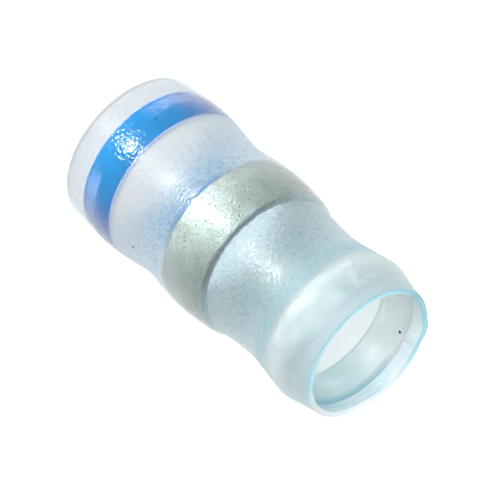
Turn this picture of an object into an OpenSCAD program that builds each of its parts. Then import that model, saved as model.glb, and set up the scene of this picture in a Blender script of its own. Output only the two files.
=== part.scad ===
// Solder seal wire connector: a clear heat-shrink sleeve drawn down over three rings.
// It stands on its wide end with its axis on +Z. Both ends are open, and a wire goes in from each.

/* [Sleeve] */
// Length of the shrunk sleeve
sleeve_length = 16.5; // [16:0.1:18]
// Wall thickness of the sleeve
sleeve_wall = 0.27; // [0.2:0.01:0.32]
// How far the film falls from the blue ring's crest to the wide end
wide_end_drop = 0.18; // [0.1:0.01:0.25]
// How far it falls from the solder's crest into the neck before it
wide_neck_drop = 0.24; // [0.15:0.01:0.3]
// How far it steps down from the solder's crest to the shoulder behind it
shoulder_drop = 0.39; // [0.3:0.01:0.42]
// How far it falls from the pale ring's crest into the neck before it
narrow_neck_drop = 0.33; // [0.25:0.01:0.36]
// How far it falls from the pale ring's crest to the narrow end
narrow_end_drop = 0.35; // [0.3:0.01:0.42]

/* [Blue sealing ring] */
// Length of the blue ring
blue_length = 1.9; // [1.5:0.1:2.2]
// Free lip of the sleeve beyond the blue ring
blue_lip = 1.24; // [0.8:0.02:1.6]
// Bore radius of the blue ring
blue_bore_radius = 3.25; // [3.1:0.01:3.3]
// Thickness of the blue ring at its crest
blue_thickness = 0.46; // [0.42:0.01:0.55]
// How much lower the sleeve is at the ring's outward edge
blue_outward_drop = 0.09; // [0.05:0.01:0.12]
// How much lower the sleeve is at the ring's inward edge
blue_inward_drop = 0.05; // [0.03:0.01:0.1]

/* [Solder ring] */
// Length of the solder ring
solder_length = 2.6; // [2.2:0.1:3]
// Distance of the solder ring from the wide end
solder_start = 6.84; // [6.4:0.02:7.2]
// Bore radius of the solder ring
solder_bore_radius = 3.15; // [3.05:0.01:3.2]
// Thickness of the solder ring at its crest
solder_thickness = 0.49; // [0.45:0.01:0.55]
// How much lower the sleeve is at the solder's edge towards the wide end
solder_wide_drop = 0.05; // [0.03:0.01:0.1]
// How much lower the sleeve is at the solder's edge towards the narrow end
solder_narrow_drop = 0.14; // [0.1:0.01:0.18]
// Length of the step down behind the solder ring
solder_step_length = 0.76; // [0.6:0.02:1]

/* [Pale sealing ring] */
// Length of the pale ring
pale_length = 1.8; // [1.5:0.1:2.1]
// Free lip of the sleeve beyond the pale ring
pale_lip = 0.8; // [0.5:0.02:1.1]
// Bore radius of the pale ring
pale_bore_radius = 2.9; // [2.7:0.01:3]
// Thickness of the pale ring at its crest
pale_thickness = 0.55; // [0.5:0.01:0.62]
// How much lower the sleeve is at the ring's outward edge
pale_outward_drop = 0.22; // [0.15:0.01:0.25]
// How much lower the sleeve is at the ring's inward edge
pale_inward_drop = 0.1; // [0.06:0.01:0.14]

/* [Edges] */
// Rounding of the bore edges of the blue ring
blue_edge_round = 0.26; // [0.1:0.01:0.28]
// Rounding of the bore edges of the pale ring
pale_edge_round = 0.2; // [0.1:0.01:0.24]
// Rounding of the bore edges of the solder ring
solder_edge_round = 0.14; // [0.04:0.01:0.16]

/* [Hidden] */
$fn = 96;

// Where each ring begins and ends along the axis
blue_start = blue_lip;
blue_end = blue_start + blue_length;
solder_end = solder_start + solder_length;
pale_end = sleeve_length - pale_lip;
pale_start = pale_end - pale_length;
shoulder_at = solder_end + solder_step_length;

// Outer radius of the film over each ring
blue_crest_radius = blue_bore_radius + blue_thickness + sleeve_wall;
solder_crest_radius = solder_bore_radius + solder_thickness + sleeve_wall;
pale_crest_radius = pale_bore_radius + pale_thickness + sleeve_wall;

// Where a crest lies along its ring, and a neck along the free stretch between two rings
blue_crest_share = 0.58;
solder_crest_share = 0.34;
pale_crest_share = 0.38;
wide_neck_share = 0.56;
narrow_neck_share = 0.5;

function between(from, to, share) = from + share * (to - from);

// Height and outer radius of the sleeve at each place that shapes it
stations = [
    [0, blue_crest_radius - wide_end_drop],
    [blue_start, blue_crest_radius - blue_outward_drop],
    [between(blue_start, blue_end, blue_crest_share), blue_crest_radius],
    [blue_end, blue_crest_radius - blue_inward_drop],
    [between(blue_end, solder_start, wide_neck_share), solder_crest_radius - wide_neck_drop],
    [solder_start, solder_crest_radius - solder_wide_drop],
    [between(solder_start, solder_end, solder_crest_share), solder_crest_radius],
    [solder_end, solder_crest_radius - solder_narrow_drop],
    [shoulder_at, solder_crest_radius - shoulder_drop],
    [between(shoulder_at, pale_start, narrow_neck_share), pale_crest_radius - narrow_neck_drop],
    [pale_start, pale_crest_radius - pale_inward_drop],
    [between(pale_start, pale_end, pale_crest_share), pale_crest_radius],
    [pale_end, pale_crest_radius - pale_outward_drop],
    [sleeve_length, pale_crest_radius - narrow_end_drop],
];
last_station = len(stations) - 1;

// A ring has three stations: its edge, its crest and its other edge. This is the index of the first
blue_index = 1;
solder_index = 5;
pale_index = 10;

// Points along the curve from one station to the next, and along a rounded edge
curve_steps = 5;
edge_steps = 4;

// Mean slope between a station and the next
function secant(i) = (stations[i + 1][1] - stations[i][1]) / (stations[i + 1][0] - stations[i][0]);

// Slope of the drawn-down film at a station: level on a crest or in a neck, else the harmonic mean
function slope(i) =
    i == 0 ? secant(0)
    : i == last_station ? secant(i - 1)
    : secant(i - 1) * secant(i) <= 0 ? 0
    : 2 * secant(i - 1) * secant(i) / (secant(i - 1) + secant(i));

// Outer radius, height and slope at a share u of the way from station i to the next
function film(i, u) =
    let (a = stations[i], b = stations[i + 1], run = b[0] - a[0], from = slope(i), to = slope(i + 1))
    [
        (1 + 2 * u) * pow(1 - u, 2) * a[1] + u * pow(1 - u, 2) * run * from
            + pow(u, 2) * (3 - 2 * u) * b[1] + pow(u, 2) * (u - 1) * run * to,
        a[0] + u * run,
        6 * u * (u - 1) * (a[1] - b[1]) / run + (3 * u - 1) * (u - 1) * from + u * (3 * u - 2) * to
    ];

// Points of the film from one station to another, sunk by a thickness measured square to it
function film_points(first, last, sunk) = [
    for (i = [first : last - 1])
        for (step = [(i == first ? 0 : 1) : curve_steps])
            let (p = film(i, step / curve_steps))
            [p[0] - sunk * sqrt(1 + pow(p[2], 2)), p[1]]
];

function reversed(list) = [for (i = [len(list) - 1 : -1 : 0]) list[i]];

// Points of a quarter round about a centre
function quarter(centre, radius, start_angle) = [
    for (step = [0 : edge_steps])
        let (angle = start_angle + 90 * step / edge_steps)
        centre + radius * [cos(angle), sin(angle)]
];

// A ring that fills the sleeve from one edge to the other: its outside is the sleeve's inside,
// and its bore is straight, with rounded edges
module seated_ring(index, bore_radius, edge_round) {
    low = stations[index][0];
    high = stations[index + 2][0];
    rotate_extrude()
        polygon(concat(
            film_points(index, index + 2, sleeve_wall),
            quarter([bore_radius + edge_round, high - edge_round], edge_round, 90),
            quarter([bore_radius + edge_round, low + edge_round], edge_round, 180)
        ));
}

// The clear film, of one thickness all along, waisted between the rings
module shrink_sleeve() {
    color([0.80, 0.90, 0.94, 0.4])
        rotate_extrude()
            polygon(concat(
                film_points(0, last_station, 0),
                reversed(film_points(0, last_station, sleeve_wall))
            ));
}

module blue_sealing_ring() {
    color([0.01, 0.56, 0.88])
        seated_ring(blue_index, blue_bore_radius, blue_edge_round);
}

module solder_ring() {
    color([0.74, 0.77, 0.76])
        seated_ring(solder_index, solder_bore_radius, solder_edge_round);
}

module pale_sealing_ring() {
    color([0.86, 0.92, 0.93, 0.7])
        seated_ring(pale_index, pale_bore_radius, pale_edge_round);
}

shrink_sleeve();
blue_sealing_ring();
solder_ring();
pale_sealing_ring();
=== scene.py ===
# A solder seal wire connector on its wide end: a clear heat-shrink sleeve over a blue sealing ring,
# a solder ring and a pale sealing ring, lit softly on a plain white floor.
import math

import bpy
from mathutils import Matrix, Vector


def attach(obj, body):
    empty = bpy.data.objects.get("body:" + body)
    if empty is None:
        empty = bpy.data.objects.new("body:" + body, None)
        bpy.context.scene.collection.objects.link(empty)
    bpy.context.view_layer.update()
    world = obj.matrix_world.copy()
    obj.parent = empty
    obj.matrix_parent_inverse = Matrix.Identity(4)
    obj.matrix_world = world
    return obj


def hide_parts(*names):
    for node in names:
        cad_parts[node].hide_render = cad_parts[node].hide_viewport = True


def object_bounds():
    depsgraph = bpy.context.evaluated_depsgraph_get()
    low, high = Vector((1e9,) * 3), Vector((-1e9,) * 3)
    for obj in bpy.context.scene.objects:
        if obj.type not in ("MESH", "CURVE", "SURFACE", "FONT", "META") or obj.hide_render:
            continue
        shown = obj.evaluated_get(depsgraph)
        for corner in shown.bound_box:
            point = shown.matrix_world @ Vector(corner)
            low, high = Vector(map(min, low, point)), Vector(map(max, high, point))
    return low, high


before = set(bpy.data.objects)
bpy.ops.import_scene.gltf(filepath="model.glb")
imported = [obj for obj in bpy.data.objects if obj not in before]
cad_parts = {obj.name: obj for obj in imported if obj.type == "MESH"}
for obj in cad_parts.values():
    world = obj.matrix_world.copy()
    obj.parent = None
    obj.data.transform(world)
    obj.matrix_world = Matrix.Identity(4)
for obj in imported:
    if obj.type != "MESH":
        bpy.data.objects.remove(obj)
cad_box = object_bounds()

MM = 0.001

# Sleeve, in millimetres: how high each place that shapes it lies, and its outer radius there
SLEEVE_LENGTH = (cad_box[1][2] - cad_box[0][2]) / MM
WALL = 0.27
STATIONS = (
    (0.0, 3.79),
    (1.24, 3.89),
    (2.34, 3.98),
    (3.14, 3.93),
    (5.21, 3.67),
    (6.84, 3.86),
    (7.72, 3.91),
    (9.44, 3.77),
    (10.2, 3.52),
    (12.05, 3.39),
    (13.9, 3.62),
    (14.58, 3.72),
    (15.7, 3.5),
    (SLEEVE_LENGTH, 3.37),
)
CUT_BEVEL = 0.06

# Dents in the sleeve: azimuth in degrees from the camera's side, then height, half width around, half
# length along and depth, in millimetres. A depth below 0 stands proud
DENTS = (
    ("lip_crease", -147, 15.9, 0.25, 0.8, 0.12),
    ("lip_fold", -158, 15.7, 0.2, 0.5, 0.08),
    ("lip_bulge", -133, 16.4, 0.8, 0.9, -0.12),
    ("lip_flat", 140, 16.5, 1.6, 1.0, 0.1),
    ("ring_dent", 14, 15.0, 1.3, 0.22, 0.05),
)

# Rings, in millimetres: where each begins and ends, its bore radius and the rounding of its bore edges
BLUE_RING = (1.24, 3.14, 3.25, 0.26)
SOLDER_RING = (6.84, 9.44, 3.15, 0.14)
PALE_RING = (13.9, 15.7, 2.9, 0.2)

# A hair of room between ring and film, so that their faces don't share a place
SEAT_GAP = 0.015

# Fineness: points around a turned piece, circles of points for each millimetre of its height, and
# steps of a rounded edge
AROUND = 240
CIRCLES_PER_MM = 8
EDGE_STEPS = 6

# Corners sharper than this stay sharp
SHARP_ANGLE = math.radians(50)

# How strongly light bends in the film's faces and in both adhesives, and the tint that the film gives
# the lamps' light
FILM_IOR = 1.45
ADHESIVE_IOR = 1.5
FILM_PANE = "F2F7F9"
WHITE = "FFFFFF"

# Level directions from the axis: towards the camera and the upper right of the picture, and away from
# them
NEAR_SIDE = (-0.766, -0.643, 0)
FAR_SIDE = (0.766, 0.643, 0)


def rise(i):
    """Slope of the film between a station and the next."""
    return (STATIONS[i + 1][1] - STATIONS[i][1]) / (STATIONS[i + 1][0] - STATIONS[i][0])


def slope(i):
    """Slope of the film at a station: level on a crest or in a neck."""
    if i == 0:
        return rise(0)
    if i == len(STATIONS) - 1:
        return rise(i - 1)
    before, after = rise(i - 1), rise(i)
    return 0.0 if before * after <= 0 else 2 * before * after / (before + after)


def film_radius(z):
    """Outer radius of the film at a height, in millimetres."""
    z = min(max(z, 0.0), SLEEVE_LENGTH)
    i = next(k for k in range(len(STATIONS) - 1) if z <= STATIONS[k + 1][0])
    (z0, r0), (z1, r1) = STATIONS[i], STATIONS[i + 1]
    run = z1 - z0
    u = (z - z0) / run
    return (
        (1 + 2 * u) * (1 - u) ** 2 * r0
        + u * (1 - u) ** 2 * run * slope(i)
        + u * u * (3 - 2 * u) * r1
        + u * u * (u - 1) * run * slope(i + 1)
    )


def evenly(low, high, per_mm):
    """Heights from low to high, both included."""
    count = max(1, round((high - low) * per_mm))
    return [low + (high - low) * k / count for k in range(count + 1)]


def rounded_edge(r, z, radius, start):
    """Points of a quarter round about a centre, from an angle in degrees."""
    angles = [math.radians(start + 90 * k / EDGE_STEPS) for k in range(EDGE_STEPS + 1)]
    return [(r + radius * math.cos(a), z + radius * math.sin(a)) for a in angles]


# Mesh tools

def deselect():
    bpy.ops.object.select_all(action="DESELECT")


def turned(name, outline, closed):
    """A circle drawn out, step by step, along an outline of radii and heights in millimetres."""
    deselect()
    r, z = outline[0]
    bpy.ops.mesh.primitive_circle_add(
        vertices=AROUND, radius=r * MM, location=(0, 0, z * MM), fill_type="NOTHING"
    )
    piece = bpy.context.object
    piece.name = piece.data.name = name
    bpy.ops.object.transform_apply(location=True, rotation=True, scale=True)
    bpy.ops.object.mode_set(mode="EDIT")
    bpy.ops.mesh.select_all(action="SELECT")
    for next_r, next_z in outline[1:] + (outline[:1] if closed else []):
        bpy.ops.mesh.extrude_region_move(
            TRANSFORM_OT_translate={"value": (0, 0, (next_z - z) * MM)}
        )
        bpy.ops.transform.resize(
            value=(next_r / r, next_r / r, 1), center_override=(0, 0, next_z * MM)
        )
        r, z = next_r, next_z
    bpy.ops.mesh.select_all(action="SELECT")
    if closed:
        bpy.ops.mesh.remove_doubles(threshold=0.0005 * MM)
    bpy.ops.mesh.normals_make_consistent(inside=False)
    bpy.ops.object.mode_set(mode="OBJECT")
    return piece


def apply_modifier(piece, kind, **settings):
    """Adds a modifier with its settings and applies it."""
    modifier = piece.modifiers.new(kind.lower(), kind)
    for key, value in settings.items():
        setattr(modifier, key, value)
    deselect()
    piece.select_set(True)
    bpy.context.view_layer.objects.active = piece
    bpy.ops.object.modifier_apply(modifier=modifier.name)


def ripple(piece, name, pitch, height, stretch=(1, 1, 1)):
    """Raises and sinks a surface by a cloud pattern of a given pitch and height in millimetres."""
    cloud_size = 0.25
    clouds = bpy.data.textures.new(name, "CLOUDS")
    clouds.noise_scale = cloud_size
    clouds.noise_depth = 2
    clouds.noise_basis = "IMPROVED_PERLIN"
    guide = bpy.data.objects.new(name + "_guide", None)
    bpy.context.scene.collection.objects.link(guide)
    guide.scale = [pitch * MM / cloud_size * s for s in stretch]
    bpy.context.view_layer.update()
    apply_modifier(
        piece,
        "DISPLACE",
        texture=clouds,
        texture_coords="OBJECT",
        texture_coords_object=guide,
        direction="NORMAL",
        mid_level=0.5,
        strength=height * MM,
    )
    bpy.data.objects.remove(guide)


def finish_piece(piece, node, slot, *materials):
    """Smooths the piece, gives it its materials and sets it in the frame in place of its solid."""
    deselect()
    piece.select_set(True)
    bpy.context.view_layer.objects.active = piece
    bpy.ops.object.shade_smooth_by_angle(angle=SHARP_ANGLE, keep_sharp_edges=False)
    for material in materials:
        piece.data.materials.append(material)
    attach(piece, "root")
    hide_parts(node)


# Material tools

def hex_colour(code):
    """Linear colour of an sRGB code such as 8CC0E0."""
    parts = [int(code[i : i + 2], 16) / 255 for i in (0, 2, 4)]
    return [c / 12.92 if c <= 0.04045 else ((c + 0.055) / 1.055) ** 2.4 for c in parts] + [1]


def new_material(name):
    material = bpy.data.materials.new(name)
    material.use_nodes = True
    material.node_tree.nodes.clear()
    return material


def node(material, kind, settings=None, **inputs):
    """Adds a node, sets its properties, and sets or links its inputs by name or number."""
    tree = material.node_tree
    made = tree.nodes.new("ShaderNode" + kind)
    for key, value in (settings or {}).items():
        setattr(made, key, value)
    for key, value in inputs.items():
        socket = made.inputs[int(key[1:])] if key[0] == "_" else made.inputs[key.replace("_", " ")]
        if isinstance(value, bpy.types.NodeSocket):
            tree.links.new(value, socket)
        else:
            socket.default_value = value
    return made


def patches(m, place, wide, tall, detail=2.0, roughness=0.5):
    """An uneven pattern of patches, so many millimetres wide around the sleeve and tall along it."""
    scale = (1 / (wide * MM), 1 / (wide * MM), 1 / (tall * MM))
    fitted = node(m, "Mapping", Vector=place, Scale=scale)
    return node(
        m, "TexNoise", Vector=fitted.outputs[0], Scale=1.0, Detail=detail, Roughness=roughness
    ).outputs["Fac"]


def along(m, place, *stops):
    """A colour or an amount that changes along the sleeve, from stops of a height in mm and its value."""
    z = node(m, "SeparateXYZ", Vector=place).outputs["Z"]
    share = node(m, "Math", {"operation": "DIVIDE"}, _0=z, _1=SLEEVE_LENGTH * MM)
    ramp = node(m, "ValToRGB", Fac=share.outputs[0])
    ramp.color_ramp.interpolation = "EASE"
    marks = ramp.color_ramp.elements
    while len(marks) < len(stops):
        marks.new(1.0)
    for mark, (height, value) in zip(marks, stops):
        mark.position = height / SLEEVE_LENGTH
        mark.color = hex_colour(value) if isinstance(value, str) else (value, value, value, 1)
    return ramp.outputs["Color"]


def lets_lamps_through(m, body, tint):
    """The surface as seen, and a plain tinted pane for the lamps' light."""
    clear = node(m, "BsdfTransparent", Color=hex_colour(tint))
    path = node(m, "LightPath").outputs
    both = node(m, "MixShader", Fac=path["Is Shadow Ray"], _1=body, _2=clear.outputs[0])
    node(m, "OutputMaterial", Surface=both.outputs[0])


def grazing(m, power):
    """0 where the surface is seen square on, rising to 1 at its outline."""
    facing = node(m, "LayerWeight", Blend=0.5).outputs["Facing"]
    return node(m, "Math", {"operation": "POWER"}, _0=facing, _1=power).outputs[0]


def specks(m, place, colour, *spots):
    """The colour with small black inclusions, each a place in millimetres and a radius."""
    for (x, y, z), radius in spots:
        spot = (x * MM, y * MM, z * MM)
        apart = node(m, "VectorMath", {"operation": "DISTANCE"}, _0=place, _1=spot).outputs["Value"]
        clean = node(m, "MapRange", Value=apart, From_Min=0.6 * radius * MM, From_Max=radius * MM)
        black = hex_colour("10181C")
        colour = node(m, "Mix", {"data_type": "RGBA"}, _0=clean.outputs[0], _6=black, _7=colour).outputs[2]
    return colour


def shrink_film():
    """Clear cross-linked polyolefin, faintly blue. It shrinks with a fine orange peel, which breaks up
    every highlight, and where it drew in between the rings it is frosted and finely ridged."""
    m = new_material("clear_shrink_film")
    place = node(m, "TexCoord").outputs["Object"]
    # The real peel and ridges are under 0.1 mm wide. They are drawn this coarse so that they show
    peel = patches(m, place, wide=0.17, tall=0.17, detail=1.0)
    wrinkle_pattern = patches(m, place, wide=0.18, tall=0.09, detail=2.0, roughness=0.6)
    ridges = patches(m, place, wide=0.18, tall=0.11, detail=1.0)
    folds = patches(m, place, wide=1.0, tall=0.45, detail=3.0)
    peel_share = along(
        m, place,
        (0, 0.05), (1.1, 0.08), (1.5, 0.55), (3.1, 0.55), (3.6, 0.25), (6.8, 0.4), (9.4, 0.4), (13.2, 0.5),
        (13.9, 0.5), (15.6, 0.5), (16.2, 0.1),
    )
    ridge_share = along(
        m, place,
        (3, 0.0), (4.6, 0.15), (6.6, 0.6), (7.2, 0.1), (9.5, 0.4), (10.4, 0.8), (13, 0.8), (13.9, 0.05),
    )
    calm = node(
        m, "MapRange", Value=grazing(m, 1.0), From_Min=0.35, From_Max=0.8, To_Min=1.0, To_Max=0.08
    ).outputs[0]
    peel_calmed = node(m, "Math", {"operation": "MULTIPLY"}, _0=peel_share, _1=calm).outputs[0]
    ridge_calmed = node(m, "Math", {"operation": "MULTIPLY"}, _0=ridge_share, _1=calm).outputs[0]
    fold_share = along(m, place, (13.4, 0.0), (14.2, 1.0), (15.4, 1.0), (16.2, 0.2))
    folded = node(m, "Bump", Strength=fold_share, Distance=0.07 * MM, Height=folds)
    peeled = node(
        m, "Bump", Strength=peel_calmed, Distance=0.06 * MM, Height=peel, Normal=folded.outputs[0]
    )
    bump = node(
        m, "Bump", Strength=ridge_calmed, Distance=0.03 * MM, Height=ridges, Normal=peeled.outputs[0]
    ).outputs[0]
    # The film's faint blue tint along its length: neutral at the wide end, cyan from the solder on and
    # deepest in the neck by the pale ring. The changes along it are painted light and shade over an evenly
    # tinted film
    film_tint_with_painted_light = along(
        m, place,
        (0, "E2DFDC"), (1.2, "EAE9E7"), (1.4, "F2FCFE"), (3.2, "F2F5F5"), (6.8, "DAF0FA"), (9.5, "D2EEF6"),
        (12.6, "CCEDF6"), (13.3, "BCE4F0"), (13.75, "BEE5F0"), (14.0, "E4F1F2"), (15.6, "DCEEF1"),
        (16.2, "CBE6EE"),
    )
    tint = node(m, "Mix", {"data_type": "RGBA"}, _0=grazing(m, 2.5), _6=film_tint_with_painted_light, _7=hex_colour("D6F4FA"))
    # Painted shade in the hollows of a wrinkle pattern, between the blue ring and the solder and along the
    # neck. Towards the solder it is blue, a painted reflection of the blue ring
    wrinkle_shade = node(m, "MapRange", Value=wrinkle_pattern, From_Min=0.36, From_Max=0.52).outputs[0]
    shade_and_reflection_colour = along(m, place, (3.5, "DCE8F0"), (5.4, "B4D0F2"), (6.7, "A4C6F0"), (9.6, "C8DEEC"))
    marks = node(m, "Mix", {"data_type": "RGBA"}, _0=wrinkle_shade, _6=shade_and_reflection_colour, _7=hex_colour(WHITE))
    painted_marks_share = along(
        m, place,
        (1.3, 0.1), (3.1, 0.1), (3.5, 0.35), (5, 0.5), (6.6, 1.0), (7, 0.1), (9.4, 0.1), (9.8, 0.8),
        (13.4, 0.75), (14, 0.08),
    )
    shaded = node(
        m, "Mix", {"data_type": "RGBA", "blend_type": "MULTIPLY"},
        _0=painted_marks_share, _6=tint.outputs[2], _7=marks.outputs[2],
    )
    spotted = specks(m, place, shaded.outputs[2], ((-1.66, -3.6, 2.37), 0.07), ((3.3, -1.68, 4.71), 0.08))
    clearness = along(
        m, place,
        (0, 0.8), (1.2, 1.0), (3.15, 1.0), (3.5, 0.42), (5.4, 0.42), (6.6, 0.72), (6.9, 1.0), (9.4, 1.0),
        (9.7, 0.65), (13.5, 0.6), (14.2, 0.75), (16, 0.7),
    )
    softness = along(
        m, place,
        (1.2, 0.18), (3.1, 0.18), (3.5, 0.4), (5.6, 0.4), (6.6, 0.28), (6.9, 0.2), (9.4, 0.2), (10.2, 0.31),
        (12.4, 0.31), (13.6, 0.6), (14.6, 0.58), (15.6, 0.45), (16, 0.45),
    )
    wall = node(
        m, "BsdfPrincipled",
        Base_Color=spotted, Roughness=softness, IOR=FILM_IOR, Transmission_Weight=clearness, Normal=bump,
    )
    way_out = node(m, "BsdfGlass", Color=hex_colour(WHITE), Roughness=softness, IOR=FILM_IOR, Normal=bump)
    backfacing = node(m, "NewGeometry").outputs["Backfacing"]
    body = node(m, "MixShader", Fac=backfacing, _1=wall.outputs[0], _2=way_out.outputs[0])
    lets_lamps_through(m, body.outputs[0], FILM_PANE)
    return m


def film_inside():
    """The film's inner face. It took the smoothness of what it shrank on, so it has no peel. It looks
    grey-white down the bore, with a few patches of painted bluish shade from the meniscus in the
    narrow end's lip. Light on its way out is scattered where it leaves at a slant, and less so where
    the film is bonded to a ring."""
    m = new_material("inside_of_shrink_film")
    place = node(m, "TexCoord").outputs["Object"]
    shade = along(
        m, place,
        (1.2, "F2EFEC"), (6.5, "F0F6F8"), (10, "D2DEE0"), (14, "DDE7E8"), (15.7, "C8DCE2"),
        (16.5, "CCDCE0"),
    )
    clearness = along(m, place, (1.2, 0.95), (3.2, 0.8), (6.8, 0.85), (9.6, 0.7), (14, 0.6), (16, 0.55))
    # Painted bluish shade of the meniscus, in a few patches inside the narrow end's lip on the side away
    # from the camera
    meniscus_shade_patches = patches(m, place, wide=0.9, tall=0.3, detail=4.0)
    towards = node(m, "VectorMath", {"operation": "DOT_PRODUCT"}, _0=place, _1=FAR_SIDE).outputs["Value"]
    far_side_shade_mask = node(m, "MapRange", Value=towards, From_Min=1.6 * MM, From_Max=2.8 * MM).outputs[0]
    meniscus_shade_amount = node(m, "MapRange", Value=meniscus_shade_patches, From_Min=0.42, From_Max=0.6, To_Max=0.8).outputs[0]
    meniscus_shade_mask = node(m, "Math", {"operation": "MULTIPLY"}, _0=far_side_shade_mask, _1=meniscus_shade_amount).outputs[0]
    on_lip = along(m, place, (15.6, 0.0), (15.75, 1.0))
    meniscus_shade_on_lip = node(m, "Math", {"operation": "MULTIPLY"}, _0=meniscus_shade_mask, _1=on_lip).outputs[0]
    lip_with_meniscus_shade = node(m, "Mix", {"data_type": "RGBA"}, _0=meniscus_shade_on_lip, _6=shade, _7=hex_colour("98CCDC"))
    wall = node(
        m, "BsdfPrincipled",
        Base_Color=lip_with_meniscus_shade.outputs[2], Roughness=0.55, IOR=FILM_IOR, Transmission_Weight=clearness,
    )
    straight = node(m, "BsdfRefraction", Color=hex_colour(WHITE), Roughness=0.1, IOR=FILM_IOR)
    scattered = node(m, "BsdfGlass", Color=hex_colour(WHITE), Roughness=0.5, IOR=FILM_IOR)
    bond = along(
        m, place,
        (1.2, 0.0), (1.4, 0.1), (3.0, 0.1), (3.2, 0.0), (6.8, 0.0), (7.0, 0.06), (9.3, 0.06), (9.5, 0.0),
        (13.2, 0.0), (14, 0.06),
    )
    turned_away = node(m, "Math", {"operation": "SUBTRACT"}, _0=grazing(m, 1.0), _1=bond).outputs[0]
    slant = node(m, "MapRange", Value=turned_away, From_Min=0.08, From_Max=0.2).outputs[0]
    way_out = node(m, "MixShader", Fac=slant, _1=straight.outputs[0], _2=scattered.outputs[0])
    backfacing = node(m, "NewGeometry").outputs["Backfacing"]
    body = node(m, "MixShader", Fac=backfacing, _1=wall.outputs[0], _2=way_out.outputs[0])
    lets_lamps_through(m, body.outputs[0], FILM_PANE)
    return m


def cut_film():
    """The cut end of the same film. Light that runs along the wall comes out here, so the narrow end's
    rim looks a clear cyan on the near side and nearly white on the far one. The wide end's is white."""
    m = new_material("cut_edge_of_shrink_film")
    place = node(m, "TexCoord").outputs["Object"]
    towards = node(m, "VectorMath", {"operation": "DOT_PRODUCT"}, _0=place, _1=NEAR_SIDE).outputs["Value"]
    share = node(
        m, "MapRange", {"interpolation_type": "SMOOTHSTEP"},
        Value=towards, From_Min=-2.7 * MM, From_Max=-0.3 * MM,
    ).outputs[0]
    arc = node(m, "Mix", {"data_type": "RGBA"}, _0=share, _6=hex_colour("F4FAFB"), _7=hex_colour("B0DCE8"))
    narrow_end = along(m, place, (4, 0.0), (12, 1.0))
    shade = node(
        m, "Mix", {"data_type": "RGBA"}, _0=narrow_end, _6=hex_colour("F6F8F9"), _7=arc.outputs[2]
    )
    edge = node(m, "BsdfPrincipled", Base_Color=shade.outputs[2], Roughness=0.35, IOR=1.42)
    lit_through = node(m, "BsdfTranslucent", Color=shade.outputs[2])
    both = node(m, "MixShader", Fac=0.6, _1=edge.outputs[0], _2=lit_through.outputs[0])
    lets_lamps_through(m, both.outputs[0], "EAF4F7")
    return m


def blue_adhesive():
    """Blue hot-melt polyamide, moulded and melted against the film. It is a deep azure, with painted
    highlight and shade lines at its edges, a painted paler reflection on the flanks of its outward
    half, painted violet-blue shade towards its outline on the left and right, and a bore painted a
    lighter cyan as if lit from behind. Light from behind also comes through it more cyan."""
    m = new_material("blue_hot_melt_adhesive")
    place = node(m, "TexCoord").outputs["Object"]
    # Painted reflection: a paler streak in patches on the flanks of the outward half
    reflection_streak_pattern = patches(m, place, wide=1.1, tall=0.5, detail=3.0)
    reflection_streak_band = along(m, place, (1.34, 0.0), (1.46, 0.9), (2.05, 1.0), (2.15, 0.0))
    share = node(m, "MapRange", Value=reflection_streak_pattern, From_Min=0.38, From_Max=0.44).outputs[0]
    x = node(m, "SeparateXYZ", Vector=place).outputs["X"]
    aside = node(m, "Math", {"operation": "ABSOLUTE"}, _0=x).outputs[0]
    flank = node(m, "MapRange", Value=aside, From_Min=1.3 * MM, From_Max=2.4 * MM).outputs[0]
    reflection_patches = node(m, "Math", {"operation": "MULTIPLY"}, _0=reflection_streak_band, _1=share)
    painted_reflection = node(m, "Math", {"operation": "MULTIPLY"}, _0=reflection_patches.outputs[0], _1=flank)
    # The azure along the ring, with painted dark shade lines just inside both edges and painted light
    # highlight lines at the very edges
    depth = along(
        m, place,
        (1.24, "9ADCF4"), (1.31, "0A5CB4"), (1.38, "008ABE"), (2.95, "008CC0"), (3.06, "0A50A8"),
        (3.11, "B8DCF4"), (3.14, "E4F2FA"),
    )
    azure = node(m, "Mix", {"data_type": "RGBA"}, _0=painted_reflection.outputs[0], _6=depth, _7=hex_colour("8CB4E0"))
    # Painted shade: darker violet blue towards the outline on the left and right
    painted_side_shade = node(m, "MapRange", Value=aside, From_Min=2.6 * MM, From_Max=3.6 * MM, To_Max=0.85).outputs[0]
    shade = node(m, "Mix", {"data_type": "RGBA"}, _0=painted_side_shade, _6=azure.outputs[2], _7=hex_colour("2C50C4"))
    # The bore is painted a lighter cyan: painted light, as if lit from behind
    level = node(m, "VectorMath", {"operation": "MULTIPLY"}, _0=place, _1=(1, 1, 0)).outputs[0]
    out = node(m, "VectorMath", {"operation": "LENGTH"}, _0=level).outputs["Value"]
    outer = node(m, "MapRange", Value=out, From_Min=3.4 * MM, From_Max=3.5 * MM).outputs[0]
    bore_painted_lit = node(m, "Mix", {"data_type": "RGBA"}, _0=outer, _6=hex_colour("6CD4FF"), _7=shade.outputs[2])
    wax = node(
        m, "BsdfPrincipled",
        Base_Color=bore_painted_lit.outputs[2], Roughness=0.5, IOR=ADHESIVE_IOR, Specular_IOR_Level=0.0,
    )
    glow = node(m, "BsdfTranslucent", Color=hex_colour("20C4FC"))
    body = node(m, "MixShader", Fac=0.3, _1=wax.outputs[0], _2=glow.outputs[0])
    node(m, "OutputMaterial", Surface=body.outputs[0])
    return m


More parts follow.
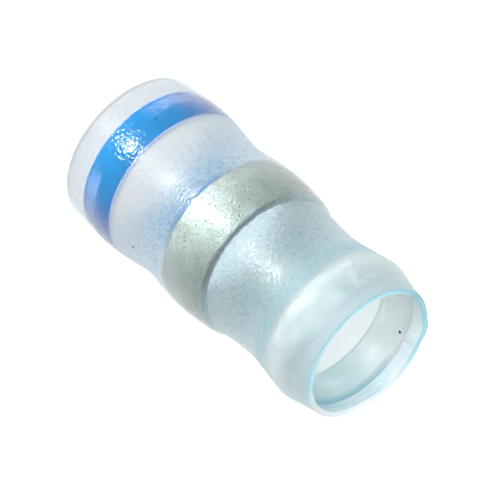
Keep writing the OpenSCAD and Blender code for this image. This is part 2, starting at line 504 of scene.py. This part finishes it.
def solder_metal():
    """Tin alloy solder with flux, rolled and dull: grainy and mottled, with dark pits, and with painted
    shade at both end faces under the film."""
    m = new_material("rolled_tin_solder")
    place = node(m, "TexCoord").outputs["Object"]
    # The real grain is some hundredths of a millimetre. It is drawn this coarse so that it shows
    grain = patches(m, place, wide=0.14, tall=0.12, detail=3.0, roughness=0.7)
    clouds = patches(m, place, wide=0.6, tall=0.5, detail=5.0, roughness=0.6)
    pit_spacing = 0.22 * MM
    spots = node(m, "TexVoronoi", {"feature": "F1"}, Vector=place, Scale=1 / pit_spacing)
    pits = node(m, "MapRange", Value=spots.outputs["Distance"], From_Min=0.07, From_Max=0.19).outputs[0]
    patchy = node(m, "MapRange", Value=clouds, From_Min=0.35, From_Max=0.65).outputs[0]
    mottled = node(
        m, "Mix", {"data_type": "RGBA"}, _0=patchy, _6=hex_colour("ACAD9E"), _7=hex_colour("C2C4BE")
    )
    dusty = node(m, "MapRange", Value=grain, From_Min=0.3, From_Max=0.6, To_Min=0.75, To_Max=1.0).outputs[0]
    grainy = node(
        m, "Mix", {"data_type": "RGBA", "blend_type": "MULTIPLY"}, _0=1.0, _6=mottled.outputs[2], _7=dusty
    )
    pitted = node(m, "Mix", {"data_type": "RGBA"}, _0=pits, _6=hex_colour("70766A"), _7=grainy.outputs[2])
    height = node(m, "Math", {"operation": "ADD"}, _0=grain, _1=pits)
    bump = node(m, "Bump", Strength=1.0, Distance=0.05 * MM, Height=height.outputs[0])
    # Painted shade: darker at both end faces
    rim = along(m, place, (6.84, 0.25), (6.9, 0.9), (6.96, 1.0), (9.31, 1.0), (9.38, 0.22), (9.44, 0.1))
    end_faces_shaded = node(
        m, "Mix", {"data_type": "RGBA", "blend_type": "MULTIPLY"}, _0=1.0, _6=pitted.outputs[2], _7=rim
    )
    metal = node(
        m, "BsdfPrincipled",
        Base_Color=end_faces_shaded.outputs[2], Metallic=0.3, Roughness=0.46, Normal=bump.outputs[0],
    )
    node(m, "OutputMaterial", Surface=metal.outputs[0])
    return m


def pale_adhesive():
    """Uncoloured hot-melt polyamide, moulded, milky and see-through. It has frosty patches, a painted
    shade line at its inward edge, painted shade on its side away from the camera, and there a painted
    bluish crescent of meniscus shade on its end face."""
    m = new_material("pale_hot_melt_adhesive")
    place = node(m, "TexCoord").outputs["Object"]
    clouds = patches(m, place, wide=1.2, tall=0.5, detail=4.0)
    frost = node(m, "MapRange", Value=clouds, From_Min=0.52, From_Max=0.66).outputs[0]
    shade = node(
        m, "Mix", {"data_type": "RGBA"}, _0=frost, _6=hex_colour("EEF3F2"), _7=hex_colour("FCFDFD")
    )
    # Painted shade: greyer on the side away from the camera
    towards = node(m, "VectorMath", {"operation": "DOT_PRODUCT"}, _0=place, _1=FAR_SIDE).outputs["Value"]
    far_side_shade_mask = node(m, "MapRange", Value=towards, From_Min=1.4 * MM, From_Max=2.8 * MM).outputs[0]
    far_side_shaded = node(
        m, "Mix", {"data_type": "RGBA"}, _0=far_side_shade_mask, _6=shade.outputs[2], _7=hex_colour("D8EAEC")
    )
    # Painted bluish shade of the meniscus: a crescent on the end face, on the side away from the camera
    end_face = along(m, place, (15.55, 0.0), (15.66, 0.7), (15.7, 1.0))
    meniscus_shade_mask = node(m, "Math", {"operation": "MULTIPLY"}, _0=far_side_shade_mask, _1=end_face)
    melt = node(
        m, "Mix", {"data_type": "RGBA"}, _0=meniscus_shade_mask.outputs[0], _6=far_side_shaded.outputs[2], _7=hex_colour("A8D6E6")
    )
    # Painted shade: a dark line along the inward edge
    painted_edge_shade = along(m, place, (13.9, 1.0), (14.0, 0.0))
    edge_shaded = node(m, "Mix", {"data_type": "RGBA"}, _0=painted_edge_shade, _6=melt.outputs[2], _7=hex_colour("A4C8D2"))
    spotted = specks(m, place, edge_shaded.outputs[2], ((-1.62, 2.4, 15.53), 0.09))
    clearness = node(m, "MapRange", Value=frost, To_Min=0.35, To_Max=0.1).outputs[0]
    wax = node(
        m, "BsdfPrincipled",
        Base_Color=spotted, Roughness=0.45, IOR=ADHESIVE_IOR, Specular_IOR_Level=0.2,
        Transmission_Weight=clearness,
    )
    lets_lamps_through(m, wax.outputs[0], "E4EAEA")
    return m


# Pieces

def dent(piece, name, azimuth, height, around, along_axis, depth):
    """Presses a soft-edged dent into a surface."""
    group = piece.vertex_groups.new(name=name)
    for vertex in piece.data.vertices:
        x, y, z = vertex.co / MM
        turn = math.degrees(math.atan2(x, -y)) - azimuth
        turn = (turn + 180) % 360 - 180
        away = math.hypot(math.radians(turn) * math.hypot(x, y) / around, (z - height) / along_axis)
        if away < 1:
            group.add([vertex.index], (1 - away * away) ** 2, "REPLACE")
    apply_modifier(
        piece, "DISPLACE", direction="NORMAL", mid_level=0.0, strength=-depth * MM, vertex_group=name
    )


def shrink_sleeve():
    """The film with its slow swells and dents, given its wall inwards and its cut rims softened."""
    outline = [(film_radius(z), z) for z in evenly(0, SLEEVE_LENGTH, CIRCLES_PER_MM)]
    sleeve = turned("shrink_sleeve_film", outline, closed=False)
    ripple(sleeve, "slow_swell", pitch=1.6, height=0.05, stretch=(1.5, 1.5, 1))
    for measures in DENTS:
        dent(sleeve, *measures)
    finish_piece(sleeve, "shrink_sleeve", "sleeve_film", shrink_film(), cut_film(), film_inside())
    apply_modifier(
        sleeve, "SOLIDIFY",
        thickness=WALL * MM, offset=-1, use_even_offset=True, material_offset=2, material_offset_rim=1,
    )
    apply_modifier(
        sleeve, "BEVEL",
        width=CUT_BEVEL * MM, segments=2, limit_method="ANGLE", angle_limit=math.radians(60), material=1,
    )


def seated_ring(name, low, high, bore, edge):
    """A ring that fills the film from one height to another."""
    outside = [(film_radius(z) - WALL - SEAT_GAP, z) for z in evenly(low, high, CIRCLES_PER_MM)]
    outline = (
        outside
        + rounded_edge(bore + edge, high - edge, edge, 90)
        + rounded_edge(bore + edge, low + edge, edge, 180)
    )
    return turned(name, outline, closed=True)


def rings():
    blue = seated_ring("blue_adhesive_ring", *BLUE_RING)
    finish_piece(blue, "blue_sealing_ring", "blue_adhesive", blue_adhesive())
    solder = seated_ring("solder_band", *SOLDER_RING)
    finish_piece(solder, "solder_ring", "solder", solder_metal())
    pale = seated_ring("pale_adhesive_ring", *PALE_RING)
    finish_piece(pale, "pale_sealing_ring", "pale_adhesive", pale_adhesive())


# Stage

# Camera: its angle from the sleeve's axis, the axis's slope in the picture, its distance and its lens
# in millimetres, and how far aside and how high it aims
VIEW_FROM_AXIS = math.radians(57.24)
AXIS_ON_PICTURE = math.radians(41.12)
CAMERA_DISTANCE = 177.3
LENS = 293.6
AIM = (-0.043, 8.008)

# The floor's glow where it is seen. The world's strength as a light and where it is seen, where 1 is
# white, and how much dimmer it is in gloss
FLOOR_GLOW = 0.5
WORLD_LIGHT = 0.72
WORLD_SEEN = 1.0
GLOSS_DIMMING = 0.3

# A ray that crosses the sleeve passes many faces
BOUNCES = 24


def camera():
    """A long lens above the narrow end's side, rolled so that the sleeve leans down to the right."""
    back = Vector((0, -math.sin(VIEW_FROM_AXIS), math.cos(VIEW_FROM_AXIS)))
    lengthways = Vector((0, math.cos(VIEW_FROM_AXIS), math.sin(VIEW_FROM_AXIS)))
    sideways = Vector((1, 0, 0))
    right = math.cos(AXIS_ON_PICTURE) * lengthways - math.sin(AXIS_ON_PICTURE) * sideways
    down = math.sin(AXIS_ON_PICTURE) * lengthways + math.cos(AXIS_ON_PICTURE) * sideways
    data = bpy.data.cameras.new("camera")
    data.lens = LENS
    data.sensor_width = 36
    data.clip_start = 0.01
    data.clip_end = 10
    made = bpy.data.objects.new("camera", data)
    aim = Vector((AIM[0] * MM, 0, AIM[1] * MM))
    place = aim + back * CAMERA_DISTANCE * MM
    turn = Matrix((right, -down, back)).transposed().to_4x4()
    made.matrix_world = Matrix.Translation(place) @ turn
    bpy.context.scene.collection.objects.link(made)
    bpy.context.scene.camera = made


def soft_light(name, azimuth, height, distance, size, power, gloss_only=False):
    """A square softbox that faces the middle of the sleeve: its angles in degrees, distance and size in
    millimetres and power in watts. Azimuth 0 is the camera's side, and a height below 0 shines up
    through the white table. Most make no highlight, and a gloss-only one makes nothing else."""
    data = bpy.data.lights.new(name, "AREA")
    data.size = size * MM
    data.energy = power
    made = bpy.data.objects.new(name, data)
    a, h = math.radians(azimuth), math.radians(height)
    middle = Vector((0, 0, SLEEVE_LENGTH * MM / 2))
    outward = Vector((math.sin(a) * math.cos(h), -math.cos(a) * math.cos(h), math.sin(h)))
    made.location = middle + outward * distance * MM
    made.rotation_euler = outward.to_track_quat("Z", "Y").to_euler()
    made.visible_diffuse = not gloss_only
    made.visible_transmission = not gloss_only
    made.visible_glossy = gloss_only
    bpy.context.scene.collection.objects.link(made)


def stage():
    """A white light table, which looks white and keeps the sleeve's shadow. The lamps below it shine
    up through it."""
    deselect()
    bpy.ops.mesh.primitive_plane_add(size=4, location=(0, 0, 0))
    floor = bpy.context.object
    floor.name = "floor"
    floor.visible_shadow = False
    m = new_material("white_light_table")
    board = node(m, "BsdfDiffuse", Color=hex_colour("E8E8E8"))
    path = node(m, "LightPath").outputs
    seen = node(m, "Math", {"operation": "MAXIMUM"}, _0=path["Is Camera Ray"], _1=path["Is Glossy Ray"])
    seen = node(m, "Math", {"operation": "MAXIMUM"}, _0=seen.outputs[0], _1=path["Is Transmission Ray"])
    strength = node(m, "Math", {"operation": "MULTIPLY"}, _0=seen.outputs[0], _1=FLOOR_GLOW)
    glow = node(m, "Emission", Strength=strength.outputs[0])
    both = node(m, "AddShader", _0=board.outputs[0], _1=glow.outputs[0])
    node(m, "OutputMaterial", Surface=both.outputs[0])
    floor.data.materials.append(m)


def studio():
    """A white world, and softboxes from the camera's side, below and above."""
    world = bpy.data.worlds.new("studio")
    world.use_nodes = True
    world.node_tree.nodes.clear()
    bpy.context.scene.world = world
    path = node(world, "LightPath").outputs
    seen = node(
        world, "Math", {"operation": "MAXIMUM"}, _0=path["Is Camera Ray"], _1=path["Is Transmission Ray"]
    )
    strength = node(world, "MapRange", Value=seen.outputs[0], To_Min=WORLD_LIGHT, To_Max=WORLD_SEEN)
    mirrored = node(world, "Math", {"operation": "MULTIPLY"}, _0=path["Is Glossy Ray"], _1=GLOSS_DIMMING)
    dimmed = node(world, "Math", {"operation": "SUBTRACT"}, _0=strength.outputs[0], _1=mirrored.outputs[0])
    sky = node(world, "Background", Color=hex_colour(WHITE), Strength=dimmed.outputs[0])
    node(world, "OutputWorld", Surface=sky.outputs[0])
    soft_light("table_softbox", azimuth=0, height=-33, distance=150, size=110, power=0.028)
    soft_light("gloss_softbox", azimuth=0, height=-33, distance=150, size=30, power=0.2, gloss_only=True)
    soft_light("key_softbox", azimuth=-40, height=45, distance=200, size=120, power=0.042)
    soft_light("fill_softbox", azimuth=110, height=30, distance=200, size=140, power=0.02)
    soft_light("top_softbox", azimuth=-60, height=75, distance=200, size=140, power=0.042)


shrink_sleeve()
rings()
camera()
stage()
studio()
scene = bpy.context.scene
scene.view_settings.view_transform = "Standard"
scene.cycles.max_bounces = BOUNCES
scene.cycles.transmission_bounces = BOUNCES
scene.cycles.transparent_max_bounces = BOUNCES
